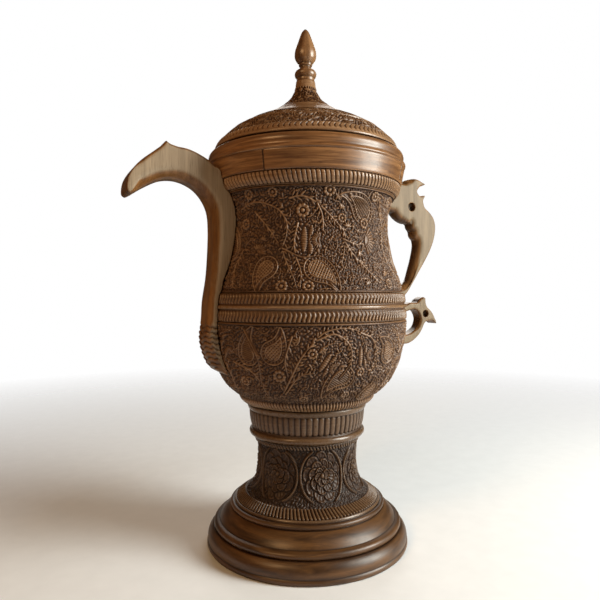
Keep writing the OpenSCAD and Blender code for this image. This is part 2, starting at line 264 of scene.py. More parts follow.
class Relief:
    """Heights of the carving on a turned surface: 0 is the sunk ground and 1 the turned surface.

    s is the distance in mm along the outline from the foot of the piece."""

    def __init__(self, line, columns):
        self.line = line
        self.r = line[:, 0]
        self.s = lengths(line)
        self.columns = columns
        self.degrees = np.arange(columns) * 360 / columns
        self.h = np.zeros((len(line), columns))

    def at(self, height):
        """The s of a height above the ground."""
        return float(np.interp(height, self.line[:, 1], self.s))

    def radius_at(self, s):
        return float(np.interp(s, self.s, self.r))

    def off(self, deg, s, angle, reach, tall=None):
        """The [degrees, s] of a place reach mm away at an angle in radians, or on an ellipse."""
        up = reach if tall is None else tall
        return deg + math.degrees(reach * math.cos(angle) / self.radius_at(s)), s + up * math.sin(angle)

    def patch(self, deg, s, reach):
        """Rows, columns and local coordinates u, v in mm of the surface near a point."""
        lo, hi = np.searchsorted(self.s, [s - reach, s + reach])
        half = int(reach / (2 * math.pi * self.radius_at(s) / self.columns)) + 2
        j = int(round(deg / 360 * self.columns)) + np.arange(-half, half + 1)
        u = np.radians(j * 360 / self.columns - deg)[None, :] * self.r[lo:hi, None]
        v = np.repeat((self.s[lo:hi] - s)[:, None], len(j), 1)
        return np.ix_(np.arange(lo, hi), j % self.columns), u, v

    def lift(self, where, value):
        self.h[where] = np.maximum(self.h[where], value)

    def clear(self, where, mask):
        self.h[where] = np.where(mask, np.minimum(self.h[where], 0), self.h[where])

    def is_bare(self, deg, s, radius):
        where, u, v = self.patch(deg, s, radius)
        return u.size > 0 and self.h[where][np.hypot(u, v) < radius].max(initial=0) < 0.08

    # single marks

    def berry(self, deg, s, radius, top=0.85):
        where, u, v = self.patch(deg, s, radius + 0.6)
        self.lift(where, top * dome(np.hypot(u, v), radius))

    def leaf(self, deg, s, length, width, angle, top=0.8, vein=True):
        where, u, v = self.patch(deg, s, length / 2 + 0.6)
        along, across = turned_axes(u, v, angle)
        along = along / length + 0.5
        half = width / 2 * np.sin(math.pi * np.clip(along, 0, 1)) ** 0.8
        body = np.where(half > 0.05, dome(across, np.maximum(half, 0.05)), 0)
        if vein:
            body = body * (1 - 0.45 * np.exp(-(across / 0.35) ** 2))
        self.lift(where, top * body)

    def stroke(self, points, width, end_width, top=0.95, gap=0.7):
        """A raised line through [degrees, s] points, with a sunk groove on both sides."""
        path = even_path(points, self)
        marks = [(deg, s, width + (end_width - width) * k / max(1, len(path) - 1))
                 for k, (deg, s) in enumerate(path)]
        for deg, s, w in marks:
            where, u, v = self.patch(deg, s, w + gap + 0.6)
            self.clear(where, np.hypot(u, v) < w + gap)
        for deg, s, w in marks:
            self.berry(deg, s, w, top)
        return path

    # motifs

    def rosette(self, deg, s, radius, petals=9):
        where, u, v = self.patch(deg, s, radius + 1.4)
        d, a = np.hypot(u, v), np.arctan2(v, u)
        lobe = np.abs(np.cos(a * petals / 2))
        edge = radius * (0.84 + 0.16 * lobe ** 0.6)
        self.clear(where, d < edge + 0.9)
        petal = np.clip((edge - d) / 0.8, 0, 1) ** 0.5 * (0.58 + 0.42 * lobe ** 0.6)
        petal *= 0.66 + 0.34 * smoothstep(d / radius * 1.1)
        ring = np.abs(d - radius * 0.40) < 0.55
        value = np.where(ring, petal * 0.1, petal)
        value = np.where(d < radius * 0.34, dome(d, radius * 0.36), value)
        self.lift(where, 0.97 * value)

    def fan(self, deg, s, radius, angle, spread=78):
        """A side-view flower: a fan of striped petals that opens towards the angle."""
        where, u, v = self.patch(deg, s, radius + 1.6)
        d = np.hypot(u, v)
        a = np.degrees(np.arctan2(v, u)) - angle
        a = (a + 180) % 360 - 180
        edge = radius * (0.92 + 0.08 * np.cos(np.radians(a * 16)))
        inside = (d < edge) & (np.abs(a) < spread)
        near = (d < edge + 1.1) & (np.abs(a) < spread + 60 / np.maximum(d, 1))
        self.clear(where, near)
        stripes = 0.66 + 0.34 * np.cos(np.radians(a * 22)) * smoothstep(d / radius * 1.6)
        rim = np.clip((edge - d) / 0.8, 0, 1) * np.clip((spread - np.abs(a)) * np.radians(1) * d / 0.8, 0, 1)
        cup = np.abs(d - radius * 0.36) < 0.4
        value = np.where(inside, stripes * rim ** 0.5, 0)
        self.lift(where, 0.92 * np.where(cup, value * 0.3, value))

    def carnation(self, deg, s, size, angle):
        """A side-view flower of long jagged petals, each a row of beads, with a bud in its cup."""
        for k, offset in enumerate((-0.36, -0.12, 0.12)):
            jag = size * (0.5 - 0.06 * abs(k - 1))
            self.petal(deg, s, size * offset, jag, size * 0.11, angle)
        cup = self.off(deg, s, math.radians(angle - 90), size * 0.42)
        self.fan(*cup, size * 0.32, angle + 90, spread=100)

    def petal(self, deg, s, aside, half, width, angle):
        """One long petal of a carnation, some way aside from the flower's middle line."""
        where, u, v = self.patch(deg, s, half + abs(aside) + 2)
        along, across = turned_axes(u, v, angle)
        across = across - aside
        edge = width * dome(along, half) * (1 + 0.16 * np.cos(along * 2.6))
        self.clear(where, (np.abs(across) < edge + 0.8) & (np.abs(along) < half + 0.5))
        value = dome(across, np.maximum(edge, 0.05)) * (0.8 + 0.2 * np.cos(along * 2.6))
        self.lift(where, 0.95 * np.where(edge > 0.05, value, 0))

    def paisley(self, deg, s, length, width, angle, curl=1, striped=False):
        """A curled drop with a beaded double border, and a field of small pits or of slanting stripes."""
        where, u, v = self.patch(deg, s, length * 0.72 + 3)
        x, y = turned_axes(u, v, angle)
        y = y * curl
        t = np.linspace(0, 1, 26)
        spine_x = -length * 0.22 + t * length * 0.62
        spine_y = length * 0.30 * t ** 2.4 - length * 0.05
        radius = width / 2 * (1 - t ** 1.15) + 0.3
        field = np.full(x.shape, 1e9)
        for cx, cy, cr in zip(spine_x, spine_y, radius):
            field = np.minimum(field, np.hypot(x - cx, y - cy) - cr)
        self.clear(where, field < 2.0)
        around = np.arctan2(y - spine_y[3], x - spine_x[3]) * width / 2
        outer = dome(field - 0.9, 0.85)
        inner = dome(field + 3.7, 0.8)
        beads = dome(field + 1.4, 1.25) * (0.55 + 0.45 * np.cos(around * 2 * math.pi / 3.4))
        if striped:
            weave = 0.5 + 0.4 * np.cos((x + 0.5 * y) * 2 * math.pi / 2.4)
        else:
            px, py = (x / 2.7) % 1 - 0.5, (y / 2.7) % 1 - 0.5
            weave = 0.82 - 0.75 * smoothstep(1.5 - np.hypot(px, py) / 0.24)
        value = np.maximum.reduce([outer, inner, 0.9 * beads, np.where(field < -4.6, weave, 0)])
        self.lift(where, value)

    # fillings

    def spray(self, deg, s, length, angle, count):
        """Leaves that open like a hand from one point."""
        for k in range(count):
            share = 2 * k / (count - 1) - 1
            a = math.radians(angle + SPRAY_SPREAD / 2 * share)
            reach = length * (1 - 0.25 * abs(share))
            middle = self.off(deg, s, a, reach / 2 + 0.5)
            self.leaf(*middle, reach, 2.0, math.degrees(a), 0.92, vein=False)
        self.berry(deg, s, 1.0, 0.9)

    def feather(self, path, leaf_len, every, angle=38, width=1.9, start=3, top=0.92):
        """Leaves on one side and then the other along a stroke, shorter towards its tip."""
        stride = max(1, int(every / PATH_STEP))
        for k in range(start, len(path) - 2, stride):
            pd, ps = path[k]
            nd, ns = path[min(k + 2, len(path) - 1)]
            ahead = math.degrees(math.atan2(ns - ps, (nd - pd) * math.radians(1) * self.radius_at(ps)))
            turn = (k - start) // stride
            for side, share in ((1 - 2 * (turn % 2), 1.0), (2 * (turn % 2) - 1, 0.55)):
                size = leaf_len * share * (1 - 0.35 * k / len(path))
                a = ahead + side * (angle + 14 * math.sin(2.4 * k))
                cd, cs = self.off(pd, ps, math.radians(a), size / 2 + 1.3)
                if self.is_bare(cd, cs, 0.9) and self.s[0] + 2 < cs < self.s[-1] - 2:
                    self.leaf(cd, cs, size, width, a, top, vein=False)

    def fill(self, rng, lo, hi, sizes=(1.75, 1.4, 1.1, 0.8), leaf_share=0.4, gap=0.3, top=0.72):
        """Berries and small leaves wherever the ground is still bare, the large ones first."""
        for size in sizes:
            s = lo + size * 0.8
            while s < hi - size * 0.6:
                count = int(2 * math.pi * self.radius_at(s) / (size * 2))
                for k in range(count):
                    deg = (k + rng.random()) * 360 / count
                    at = s + rng.uniform(-0.5, 0.5)
                    if not self.is_bare(deg, at, size + gap):
                        continue
                    if rng.random() < leaf_share:
                        self.leaf(deg, at, size * 3.1, size * 1.35, rng.uniform(0, 180), top, vein=size > 1.5)
                    else:
                        self.berry(deg, at, size, top * rng.uniform(0.8, 1.0))
                s += size * 1.5


PATH_STEP = 0.8      # of a stroke's points
SPRAY_SPREAD = 150   # from a spray's first leaf to its last


def even_path(points, relief):
    """A smooth path through [degrees, s] points, in even steps."""
    p = np.array(points, float)
    r = relief.radius_at(p[:, 1].mean())
    flat = np.stack([np.radians(p[:, 0]) * r, p[:, 1]], 1)
    ends = np.concatenate([[2 * flat[0] - flat[1]], flat, [2 * flat[-1] - flat[-2]]])
    fine = []
    for i in range(1, len(ends) - 2):
        for t in np.linspace(0, 1, 12, endpoint=False):
            a, b, c, d = ends[i - 1:i + 3]
            fine.append((2 * b + (c - a) * t + (2 * a - 5 * b + 4 * c - d) * t ** 2
                         + (3 * b - a - 3 * c + d) * t ** 3) / 2)
    fine.append(flat[-1])
    even = resample(np.array(fine), PATH_STEP)
    return [(math.degrees(u / r), v) for u, v in even]


def band(relief, lo, hi):
    """Rows between two s, with their share of the way up as a column."""
    rows = np.where((relief.s >= lo) & (relief.s <= hi))[0]
    return rows, ((relief.s[rows] - lo) / (hi - lo))[:, None]


def parts(relief, count, shift=0.0):
    """Where each column lies in its own of count equal parts of the ring, from -0.5 to 0.5."""
    return (relief.degrees[None, :] / 360 * count + shift) % 1 - 0.5


def tongues(relief, lo, hi, count, slant=0.0, line=0.55, level=0.62, top_end=False):
    """A ring of round tongues side by side with fine cuts between them, and round ends at one edge."""
    rows, t = band(relief, lo, hi)
    pitch = 2 * math.pi * relief.r[rows, None] / count
    x = parts(relief, count, slant * t)
    edge = (0.5 - np.abs(x)) * pitch
    shape = (level + (1 - level) * dome(x * 2)) * smoothstep(edge / line)
    up = (1 - t if top_end else t) * (hi - lo)
    radius = pitch * 0.46
    over = np.hypot(x * pitch, np.minimum(up - radius, 0)) - radius
    relief.h[rows] = shape * smoothstep(-over / 0.6)


def waves(relief, lo, hi, count, phase=0.0):
    """A ring of S-shaped ridges with gouged hollows between them, deeper in the lower half."""
    rows, t = band(relief, lo, hi)
    turn = relief.degrees[None, :] / 360 * count + phase
    sway = 0.17 * np.cos(2 * math.pi * (t * 1.15 - 0.72))
    x = (turn - sway) % 1 - 0.5
    wide = 0.28 + 0.16 * (1 - smoothstep((t - 0.3) / 0.3))
    hollow = 0.45 * smoothstep((t - 0.35) / 0.3) + 0.08
    ends = smoothstep(t / 0.10) * smoothstep((1 - t) / 0.08)
    relief.h[rows] = np.maximum(dome(x, wide), hollow) * ends + (1 - ends) * 0.7


def reeds(relief, lo, hi, count):
    """A ring of upright half-round reeds with round ends."""
    rows, t = band(relief, lo, hi)
    pitch = 2 * math.pi * relief.r[rows, None] / count
    half = 0.45 * pitch
    up = t * (hi - lo)
    over = np.minimum(np.minimum(up, hi - lo - up) - half, 0)
    d = np.hypot(parts(relief, count) * pitch, over) / half
    relief.h[rows] = np.where(d < 1, 0.3 + 0.68 * dome(d), 0.05)


def plain(relief, lo, hi, level=1.0):
    """A band that is left uncarved."""
    rows, _ = band(relief, lo, hi)
    relief.h[rows] = level


def blurred(h, share=0.2):
    """A light blur that takes the jagged steps off a carved grid."""
    h = (1 - share) * h + share * (np.roll(h, 1, 1) + np.roll(h, -1, 1)) / 2
    up = np.concatenate([h[:1], h[:-1]])
    down = np.concatenate([h[1:], h[-1:]])
    return (1 - share) * h + share * (up + down) / 2


# ------------------------ carved pieces

PANEL_TURNS = (0, 180)   # the same carving is laid out on both sides of the pot

# Places are angles and heights above the ground. A vine runs through its places; a paisley has a place, a
# length, a width, an angle, the way that it curls, and whether its field is striped; a rosette has a radius.
UPPER_VINES = [
    [(232, 391), (240, 393), (249, 386), (257, 374), (266, 357), (265, 338), (262, 322)],
    [(249, 386), (252, 374), (252, 357), (248, 346)],
    [(265, 350), (270, 336), (277, 322), (286, 304)],
    [(237, 366), (235, 348), (236, 332), (239, 317), (239, 301)],
    [(196, 384), (205, 389), (215, 388), (225, 380), (230, 367), (230, 353), (228, 340), (231, 325),
     (235, 311), (237, 299)],
    [(208, 380), (219, 360), (225, 346)],
    [(228, 340), (239, 331), (247, 332)],
    [(292, 402), (299, 385), (302, 365), (299, 345), (303, 325)],
    [(265, 350), (274, 345), (281, 347)],
    [(303, 325), (311, 312), (322, 302)],
    [(302, 365), (312, 372), (322, 368), (330, 352), (333, 330)],
    [(200, 340), (196, 322), (198, 300)],
]
UPPER_PAISLEYS = [(276, 388, 48, 26, 128, 1, True), (253, 312, 50, 26, -26, -1, False),
                  (217, 312, 42, 23, -128, 1, False), (318, 338, 42, 24, 120, -1, True),
                  (330, 386, 38, 22, 40, 1, False), (190, 350, 40, 22, 70, 1, True)]
UPPER_ROSETTES = [(240, 379, 7.5), (256, 399, 7), (229, 301, 7), (243, 301, 6.5), (282, 368, 6.5),
                  (290, 397, 6.5), (265, 372, 5.5), (205, 398, 6.5), (310, 396, 7), (200, 368, 6.5),
                  (295, 304, 6.5), (345, 310, 6), (346, 398, 6), (222, 398, 6), (340, 358, 7)]
BOWL_VINES = [
    [(228, 189), (233, 205), (239, 227), (245, 242), (251, 254), (261, 258), (270, 253), (274, 238)],
    [(247, 246), (256, 252), (264, 241), (266, 225), (263, 213), (260, 205)],
    [(198, 221), (210, 212), (215, 198), (216, 184)],
    [(209, 256), (214, 236), (216, 220), (215, 198)],
    [(235, 250), (231, 225), (232, 208)],
    [(270, 253), (278, 245), (283, 223), (279, 208)],
    [(229, 188), (238, 208), (246, 212)],
    [(297, 184), (301, 205), (306, 228), (300, 248), (292, 257)],
    [(306, 228), (316, 242), (328, 240), (336, 222)],
    [(339, 186), (341, 205), (350, 225), (346, 248)],
    [(190, 186), (192, 205), (188, 228), (194, 250)],
]
BOWL_PAISLEYS = [(210, 240, 44, 22, 100, -1, True), (227, 240, 40, 23, 44, 1, False),
                 (287, 190, 33, 22, 66, 1, False), (258, 200, 46, 24, -150, 1, True),
                 (322, 208, 40, 23, 75, -1, False), (290, 236, 36, 22, 110, 1, False),
                 (338, 244, 34, 20, -20, 1, True)]
BOWL_ROSETTES = [(227, 208, 7.5), (203, 200, 6.5), (245, 232, 6), (306, 190, 6.5), (318, 255, 6.5),
                 (352, 200, 6), (196, 232, 5.5), (273, 211, 5.5), (267, 186, 5.5), (240, 182, 5.5)]


def lay_motifs(relief, paisleys, rosettes, vines):
    """The planned part of the carving, the same on both sides of the pot."""
    for turn in PANEL_TURNS:
        for deg, z, length, width, angle, curl, striped in paisleys:
            relief.paisley(deg + turn, relief.at(z), length, width, angle, curl, striped)
        paths = [relief.stroke([(d + turn, relief.at(z)) for d, z in points], 1.3, 0.75) for points in vines]
        for deg, z, radius in rosettes:
            relief.rosette(deg + turn, relief.at(z), radius)
        for path in paths:
            relief.feather(path, 7.6, 4.6, width=2.3, top=0.88)


def scatter_tendrils(relief, rng, count, lo, hi):
    """Short curling stems with small leaves, wherever there is room for one."""
    for _ in range(count):
        deg, s = rng.uniform(0, 360), rng.uniform(lo + 3, hi - 3)
        heading, curl = rng.uniform(0, 2 * math.pi), rng.choice((-1, 1)) * rng.uniform(0.06, 0.2)
        points = []
        while len(points) < 14 and lo + 2 < s < hi - 2 and relief.is_bare(deg, s, 1.4):
            points.append((deg, s))
            deg, s = relief.off(deg, s, heading, 1.2)
            heading += curl
        if len(points) > 5:
            path = relief.stroke(points, 0.85, 0.6, top=0.85, gap=0.4)
            relief.feather(path, 4.6, 3.6, angle=46, width=1.8, start=2, top=0.78)
            relief.berry(*path[-1], 1.5, 0.9)


def scatter_sprays(relief, rng, count, lo, hi, length=(4.5, 7.0)):
    """Small sprays of leaves, wherever there is room for one."""
    for _ in range(count):
        deg, s = rng.uniform(0, 360), rng.uniform(lo + 4, hi - 4)
        if relief.is_bare(deg, s, 3.2):
            relief.spray(deg, s, rng.uniform(*length), rng.uniform(0, 360), rng.choice((3, 3, 5)))


def carve_upper_body(relief):
    rng = random.Random(11)
    lay_motifs(relief, UPPER_PAISLEYS, UPPER_ROSETTES, UPPER_VINES)
    for turn in PANEL_TURNS:
        relief.carnation(243 + turn, relief.at(349), 31, 88)
        relief.fan(281 + turn, relief.at(351), 17, -12)
        relief.fan(212 + turn, relief.at(336), 11, 60)
        relief.fan(310 + turn, relief.at(352), 12, 200)
    top = relief.s[-1]
    scatter_tendrils(relief, rng, 1500, 0, top)
    scatter_sprays(relief, rng, 900, 2, top - 2)
    relief.fill(rng, 0.8, top - 0.8, leaf_share=0.6)


def carve_lower_bowl(relief):
    rng = random.Random(23)
    field = relief.at(175)
    tongues(relief, 0, field - 1.0, 138, slant=0.5, top_end=True)
    lay_motifs(relief, BOWL_PAISLEYS, BOWL_ROSETTES, BOWL_VINES)
    for turn in PANEL_TURNS:
        relief.carnation(253 + turn, relief.at(221), 26, 60)
        relief.carnation(273 + turn, relief.at(228), 25, 96)
        relief.fan(306 + turn, relief.at(214), 11, 130)
        relief.fan(196 + turn, relief.at(228), 10, 90)
    top = relief.s[-1]
    scatter_tendrils(relief, rng, 1300, field, top)
    scatter_sprays(relief, rng, 800, field, top - 2)
    relief.fill(rng, field + 0.4, top - 0.8, leaf_share=0.6)


def carve_belt(relief):
    lo, hi = relief.at(275.9), relief.at(281.8)
    waves(relief, 0.3, lo, 156)
    waves(relief, hi, relief.s[-1] - 0.3, 156, phase=0.5)
    plain(relief, lo, hi)


def carve_flutes(relief):
    tongues(relief, 0.0, relief.s[-1], 142, slant=0.6, line=0.34, level=0.8)


# Rings of petals from the outside in: how many, how far out, how large, and their height.
PEONY_RINGS = [(9, 0.68, 0.34, 0.62), (8, 0.43, 0.28, 0.80), (6, 0.21, 0.20, 1.0)]


def peony(relief, deg, s, wide, tall):
    """A layered flower: rings of striped petals with raised rims, each petal over those laid before it."""
    where, u, v = relief.patch(deg, s, tall + 2)
    x, y = u / wide, v / tall
    relief.clear(where, np.hypot(x, y) < 1.05)
    value = np.zeros(x.shape)
    for k, (count, distance, size, level) in enumerate(PEONY_RINGS):
        for i in range(count):
            a = 2 * math.pi * (i + 0.5 * k) / count + 0.3
            px, py = x - distance * math.cos(a), y - distance * math.sin(a)
            d = np.hypot(px, py) / size
            foot = distance - size
            from_foot = np.arctan2(y - foot * math.sin(a), x - foot * math.cos(a)) - a
            stripes = 0.82 + 0.18 * np.cos(from_foot * 20)
            petal = level * (0.55 * stripes + 0.45 * smoothstep((d - 0.66) / 0.2))
            petal *= smoothstep((1 - d) / 0.06)
            value = np.where(d < 1, petal, np.where(d < 1.16, value * 0.12, value))
    button = np.hypot(x, y) / 0.11
    value = np.where(button < 1, dome(button), np.where(button < 1.3, 0.2, value))
    relief.lift(where, value)


def rope(relief, deg, s, wide, tall, start, end, width=1.6):
    """A scroll along part of an ellipse, notched like a rope."""
    angles = np.radians(np.linspace(start, end, 14))
    path = relief.stroke([relief.off(deg, s, a, wide, tall) for a in angles], width, width * 0.75, top=0.55)
    for pd, ps in path[::2]:
        relief.leaf(pd, ps, width * 2.3, width * 0.95, 35, 1.0, vein=False)


STEM_FLOWERS = 7
STEM_FLOWER_DEG = 259    # the first one's angle


def carve_stem(relief):
    """A ring of flowers in rope frames, between small flutes above and tongues on the flare below."""
    rng = random.Random(5)
    edge, foot, head = relief.at(53.5), relief.at(61.5), relief.at(119.5)
    plain(relief, 0, edge)
    for k in range(STEM_FLOWERS):
        deg, s = STEM_FLOWER_DEG + k * 360 / STEM_FLOWERS, relief.at(91)
        peony(relief, deg, s, 22.5, 27.5)
        for start, end in ((118, 242), (-62, 62)):
            rope(relief, deg, s, 25.3, 30, start, end)
    relief.fill(rng, foot + 0.5, head - 0.5, leaf_share=0.8, top=0.45)
    tongues(relief, edge, foot, 124, slant=0.8)
    tongues(relief, head, relief.s[-1] - 0.2, 104, slant=0.8)


def carve_collar(relief):
    lo, hi = relief.at(136.3), relief.at(157.6)
    plain(relief, 0, lo)
    reeds(relief, lo, hi, 64)
    plain(relief, hi, relief.s[-1])


def carve_dome(relief):
    """A plain foot, a ring of curved gouge cuts, and a band of small leaves with a line above it."""
    rng = random.Random(31)
    cuts, leaves, top = relief.at(461.3), relief.at(468.8), relief.s[-1]
    plain(relief, 0, leaves)
    rows, t = band(relief, cuts, leaves - 0.4)
    x = parts(relief, 116, 0.42 * np.cos(math.pi * (t - 0.45)))
    cut = np.exp(-(x * 5.9 / 0.55) ** 2) * smoothstep(t / 0.3) * smoothstep((1 - t) / 0.08)
    relief.h[rows] = (1 - 0.8 * cut) * (0.9 + 0.1 * dome(x * 2))
    scatter_sprays(relief, rng, 1500, leaves, top - 2, (8.0, 12.0))
    relief.fill(rng, leaves + 0.4, top - 1.6, sizes=(2.2, 1.6, 1.1, 0.8), leaf_share=0.9, top=0.9)
    plain(relief, top - 1.4, top)


def carve_crown(relief):
    """A plain hollow ring, a carved flare with a scalloped top edge, and a plain neck."""
    rng = random.Random(47)
    lo, hi = relief.at(512.5), relief.at(538.5)
    plain(relief, 0, lo, level=0.78)
    plain(relief, hi, relief.s[-1])
    scatter_sprays(relief, rng, 260, lo, hi, (4.0, 6.0))
    relief.fill(rng, lo + 0.6, hi - 2.4, sizes=(1.4, 1.0, 0.8), leaf_share=0.7)
    tongues(relief, hi - 2.2, hi, 26, level=0.9)


# ------------------------ turned pieces from the CAD frame

def inner_line(node, lowest=None, count=9):
    """Points down the inside wall of a hollow node, from its top to its foot or the height given."""
    lo, hi = (p.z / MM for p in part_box(node))
    heights = np.linspace(hi - 0.05, (lo if lowest is None else lowest) + 0.05, count)
    points = [(ray_radius(node, z, RAY_SIDE), z) for z in heights]
    return [p for p in points if p[0] is not None]


LIP = (0.8, 0)       # how far the flat run goes in


def with_lips(line, ease=0.45):
    """The line with its two ends eased back, as a seam, and a short flat run inward at each end."""
    s = lengths(line)
    back = np.maximum(1 - np.minimum(s, s[-1] - s) / ease, 0) * ease * 0.9
    line = line - np.stack([back, np.zeros(len(s))], 1)
    return np.concatenate([[line[0] - LIP], line, [line[-1] - LIP]])


def carved_piece(node, columns, step, depth, carve, hollow=True, back=None, body="vessel"):
    """The carved stand-in for a turned CAD node."""
    line = smooth_line(node, step)
    relief = Relief(line, columns)
    carve(relief)
    # Hollow corners and the seam lips are cut lower, which also darkens their colour through the carved
    # material: painted shade.
    height = blurred(relief.h) * (0.6 + 0.4 * corner_and_seam_shade(line))[:, None]
    lip = np.full((1, columns), 0.8)
    if back is None and hollow:
        back = inner_line(node)
    piece = turned(node + "_carved", with_lips(line, ease=0.2), columns, np.concatenate([lip, height, lip]),
                   depth, back=back or (), close=not hollow)
    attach(piece, body)
    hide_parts(node)
    return piece


def plain_piece(node, columns=320, step=1.0, hollow=False, body="vessel", corner_shade_strength=1.0, fillet=0.3):
    """The smooth stand-in for a turned CAD node. The argument after body is the strength of the shade painted
    into its hollow corners and seams.
    """
    line = with_lips(smooth_line(node, step, fillet), ease=0.8)
    # painted shade in the hollow corners and seams
    piece = turned(node + "_turned", line, columns, wear_stain_and_shade=1 - corner_shade_strength * (1 - corner_and_seam_shade(line)),
                   back=inner_line(node) if hollow else (), close=not hollow)
    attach(piece, body)
    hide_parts(node)
    return piece


RIM_SEGMENTS = 4
RIM_FIRST_DEG = 220      # of a glue line
RIM_COLUMNS = 361        # in each segment
GLUE_DEG = 0.08          # width of a glue line
GLUE_NOTCH = (0.0, 0.3, 0.8)   # height of the columns beside it, which are scraped out and dark
NOTCH_DEPTH = 0.35
BOARD_APART = 0.5        # in metres of wood, so that the segments' grain doesn't match


def rim_band():
    """The plain rim, glued up from segments whose grain doesn't match."""
    line = with_lips(smooth_line("rim_segments", 1.2))
    back = inner_line("rim_segments", count=4)
    step = 360 / RIM_SEGMENTS
    notch = np.ones((len(line), RIM_COLUMNS))
    for k, level in enumerate(GLUE_NOTCH):
        notch[:, [k, -1 - k]] = level
    pieces = []
    for k in range(RIM_SEGMENTS):
        start = RIM_FIRST_DEG + k * step + GLUE_DEG / 2
        piece = turned("rim_segment_%d" % k, line, RIM_COLUMNS, notch, NOTCH_DEPTH, back=back,
                       arc=(start, start + step - GLUE_DEG))
        for point in piece.data.attributes["grain"].data:
            point.vector[2] += BOARD_APART * k
        pieces.append(piece)
    rim = pieces[0]
    bpy.context.view_layer.update()
    with bpy.context.temp_override(active_object=rim, object=rim, selected_objects=pieces,
                                   selected_editable_objects=pieces):
        bpy.ops.object.join()
    rim.name = "rim_segments_turned"
    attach(rim, "vessel")
    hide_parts("rim_segments")
    return rim


# ------------------------ boards: the spout and the handles

ON_FACE = 2e-5       # metres within which a vertex counts as on the board's face


def face_outline(node):
    """The outline of a board's flat face, as [x, z] points in mm, taken from the CAD node."""
    mesh = cad_mesh(node)
    face_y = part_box(node)[1].y
    uses = Counter()
    for polygon in mesh.polygons:
        places = [mesh.vertices[i].co for i in polygon.vertices]
        if all(abs(p.y - face_y) < ON_FACE for p in places):
            keys = [(round(p.x / MM, 2), round(p.z / MM, 2)) for p in places]
            uses.update(frozenset(pair) for pair in zip(keys, keys[1:] + keys[:1]))
    neighbours = {}
    for pair, count in uses.items():
        if count == 1 and len(pair) == 2:
            a, b = pair
            neighbours.setdefault(a, []).append(b)
            neighbours.setdefault(b, []).append(a)
    loops = []
    left = set(neighbours)
    while left:
        loop = [left.pop()]
        while ahead := [p for p in neighbours[loop[-1]] if p in left]:
            loop.append(ahead[0])
            left.discard(ahead[0])
        loops.append(np.array(loop))
    return max(loops, key=lambda loop: np.ptp(loop[:, 1]))


def inside_distance(points, outline):
    """Each [x, z] point's distance from the outline, positive inside, and its way from the nearest edge."""
    best = np.full(len(points), 1e9)
    way = np.zeros((len(points), 2))
    inside = np.zeros(len(points), bool)
    for p, q in zip(outline, np.roll(outline, -1, axis=0)):
        edge = q - p
        t = np.clip(((points - p) @ edge) / max(edge @ edge, 1e-9), 0, 1)
        gap = points - (p + t[:, None] * edge)
        d = np.hypot(*gap.T)
        closer = d < best
        best = np.where(closer, d, best)
        way[closer] = gap[closer]
        crosses = (p[1] > points[:, 1]) != (q[1] > points[:, 1])
        if p[1] != q[1]:
            x_cross = p[0] + (points[:, 1] - p[1]) / (q[1] - p[1]) * edge[0]
            inside ^= crosses & (points[:, 0] < x_cross)
    sign = np.where(inside, 1.0, -1.0)
    way /= np.maximum(best, 1e-6)[:, None]
    return best * sign, way * sign[:, None]


def voxel_copy(node, name, voxel):
    """A fine even mesh of a CAD node's shape, as a new object."""
    raw = bpy.data.meshes.new(name + "_raw")
    bm = bmesh.new()
    bm.from_mesh(cad_mesh(node))
    bmesh.ops.remove_doubles(bm, verts=bm.verts, dist=2e-6)
    bm.to_mesh(raw)
    bm.free()
    source = add_object(name + "_raw", raw)
    remesh = source.modifiers.new("fine", "REMESH")
    remesh.mode = "VOXEL"
    remesh.voxel_size = voxel * MM
    graph = bpy.context.evaluated_depsgraph_get()
    mesh = bpy.data.meshes.new_from_object(source.evaluated_get(graph))
    bpy.data.objects.remove(source)
    mesh.polygons.foreach_set("use_smooth", np.ones(len(mesh.polygons), bool))
    return add_object(name, mesh)


def relaxed(mesh, co, rounds):
    """Vertex places after a few rounds of moving halfway to their neighbours' middle."""
    ends = np.zeros(len(mesh.edges) * 2, np.int32)
    mesh.edges.foreach_get("vertices", ends)
    a, b = ends[::2], ends[1::2]
    count = np.maximum(np.bincount(ends, minlength=len(co))[:, None], 1)
    for _ in range(rounds):
        total = np.stack([np.bincount(a, co[b, k], len(co)) + np.bincount(b, co[a, k], len(co))
                          for k in range(3)], 1)
        co = co * 0.5 + 0.5 * total / count
    return co


VESSEL_NODES = ("lower_bowl", "belt_ring", "upper_body", "flute_segments", "rim_segments")
vessel_wall = np.concatenate([outer_line(node) for node in VESSEL_NODES])


def vessel_radius(z):
    """Radius of the vessel's outside at heights in mm."""
    return np.interp(z, vessel_wall[:, 1], vessel_wall[:, 0])


def drilled_eye(node, half):
    """The drilled eye's floor in a board: its x, z and radius in mm, or none."""
    co = points_of(cad_mesh(node)) / MM
    floor = co[(co[:, 1] > 1) & (co[:, 1] < half - 1)]
    floor = floor[floor[:, 0] > vessel_radius(floor[:, 2]) + 10]
    if len(floor) < 8:
        return None
    x, z = floor[:, [0, 2]].mean(0)
    return x, z, np.hypot(floor[:, 0] - x, floor[:, 2] - z).max()


